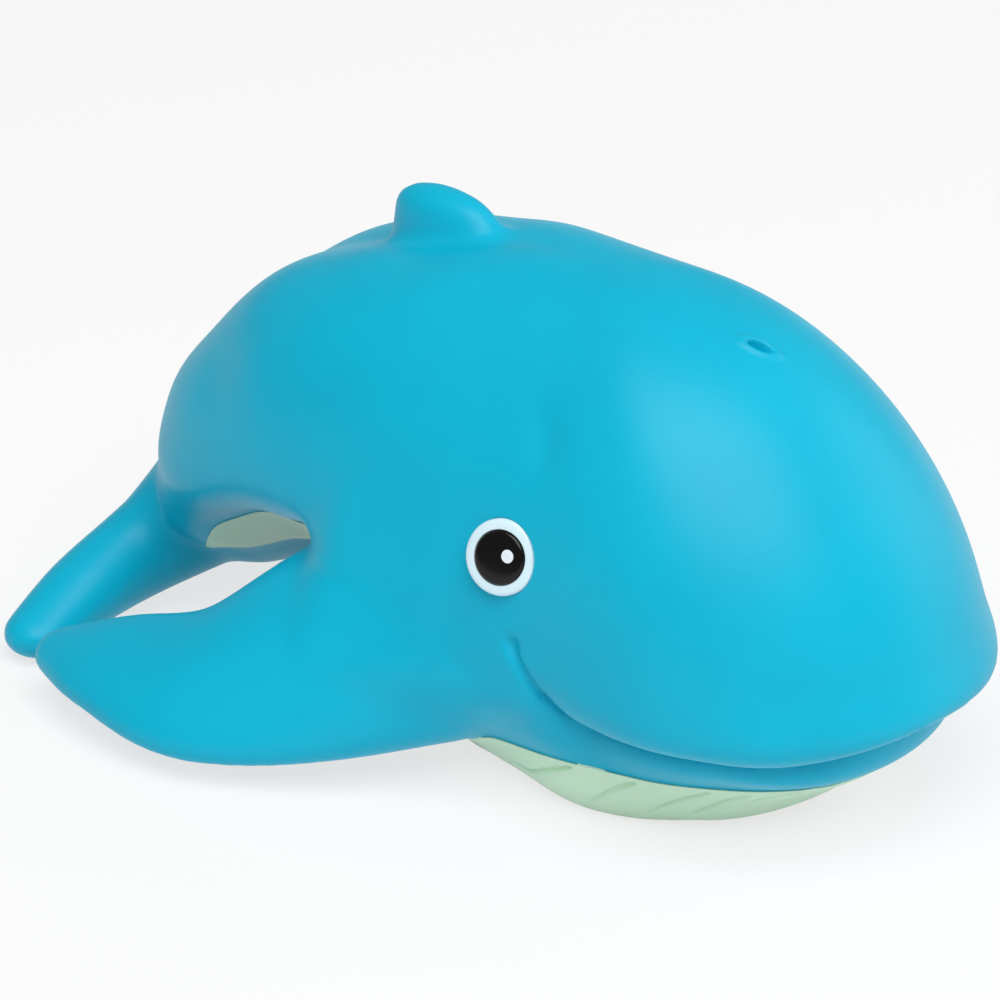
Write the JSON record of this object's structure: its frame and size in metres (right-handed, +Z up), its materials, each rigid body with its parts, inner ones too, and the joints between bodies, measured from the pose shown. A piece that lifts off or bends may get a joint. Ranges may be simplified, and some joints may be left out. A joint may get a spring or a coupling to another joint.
{
  "type": "squeaky bath toy",
  "caption": "Hollow soft vinyl whale bath toy with a bonded belly panel, domed eyes, a blowhole and a reed squeaker pressed into the belly; squeezing the belly drives air past the reed.",
  "frame": {"origin": "centre of the overall box at the level of the belly's flat, which rests on the table", "axes": "+X towards the snout, +Y towards the whale's left, +Z up"},
  "size_m": [0.1341, 0.1014, 0.0699],
  "materials": {
    "blue_vinyl": "satin soft vinyl",
    "green_vinyl": "satin soft vinyl",
    "eye_white": "gloss",
    "eye_black": "high gloss",
    "eye_glint": "gloss paint",
    "white_plastic": "satin",
    "ivory_plastic": "satin",
    "reed_metal": "rolled strip"
  },
  "bodies": {
    "shell": {"body_shell": "blue_vinyl", "belly_panel": "green_vinyl", "flipper_right": "blue_vinyl", "flipper_left": "blue_vinyl", "fluke_right": "blue_vinyl", "fluke_left": "blue_vinyl", "eye_white_right": "eye_white", "eye_pupil_right": "eye_black", "eye_glint_right": "eye_glint", "eye_white_left": "eye_white", "eye_pupil_left": "eye_black", "eye_glint_left": "eye_glint"},
    "squeaker": {"squeaker_housing": "white_plastic", "squeaker_cap": "white_plastic", "squeaker_reed_block": "ivory_plastic", "squeaker_reed_root": "reed_metal", "squeaker_reed_wedge": "ivory_plastic"},
    "reed": {"squeaker_reed": "reed_metal"}
  },
  "joints": [
    {"name": "squeeze", "type": "slide", "parent": "shell", "child": "squeaker", "axis": [0, 0, 1], "range_m": [0, 0.005], "stiffness_N_per_m": 800, "deforming": ["belly_panel"]},
    {"name": "reed_beat", "type": "hinge", "parent": "squeaker", "child": "reed", "pos_m": [0.01468, 0.00092, 0.0085], "axis": [1, 0, 0], "range_deg": [0, 4], "stiffness_Nm_per_rad": 0.0002}
  ]
}
